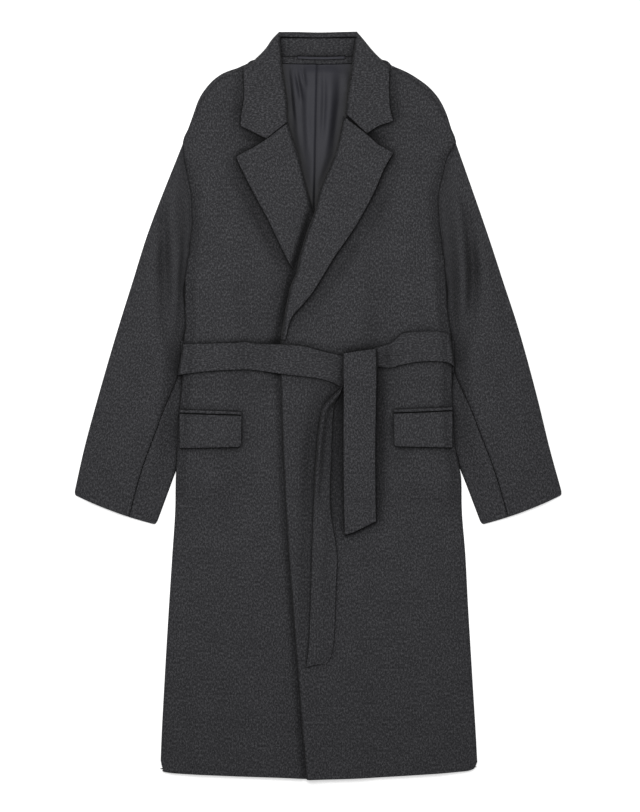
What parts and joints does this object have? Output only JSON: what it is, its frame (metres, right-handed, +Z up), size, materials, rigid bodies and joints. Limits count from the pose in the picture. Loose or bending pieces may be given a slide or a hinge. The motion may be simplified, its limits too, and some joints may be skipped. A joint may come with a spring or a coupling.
{
  "type": "wrap coat",
  "caption": "Long wool wrap coat with a notched lapel collar, flap pockets and a tied cloth belt, laid flat on its back.",
  "frame": {"origin": "middle of the coat's footprint, on the surface it lies on", "axes": "+Y along the coat towards the collar, +Z up from the surface, so the front faces +Z and the wearer's left is at +X"},
  "size_m": [0.787, 1.209, 0.024],
  "materials": {
    "wool": "brushed charcoal melange wool coating, soft nap",
    "lining": "dark grey satin lining, smooth and slightly glossy"
  },
  "bodies": {
    "root": {"back": "wool", "front_right": "wool", "front_left": "wool", "lapel_right": "wool", "lapel_left": "wool", "collar_leaf_right": "wool", "collar_leaf_left": "wool", "collar_back": "wool", "collar_stand": "wool", "neck_facing": "wool", "hanger_loop": "lining", "lining_back": "lining", "sleeve_upper_right": "wool", "sleeve_under_right": "wool", "sleeve_upper_left": "wool", "sleeve_under_left": "wool", "flap_right": "wool", "flap_left": "wool", "welt_right": "wool", "welt_left": "wool", "belt_waist_right": "wool", "belt_waist_left": "wool", "belt_back": "wool", "belt_knot": "wool", "belt_end_front": "wool", "belt_end_under": "wool"}
  },
  "joints": []
}
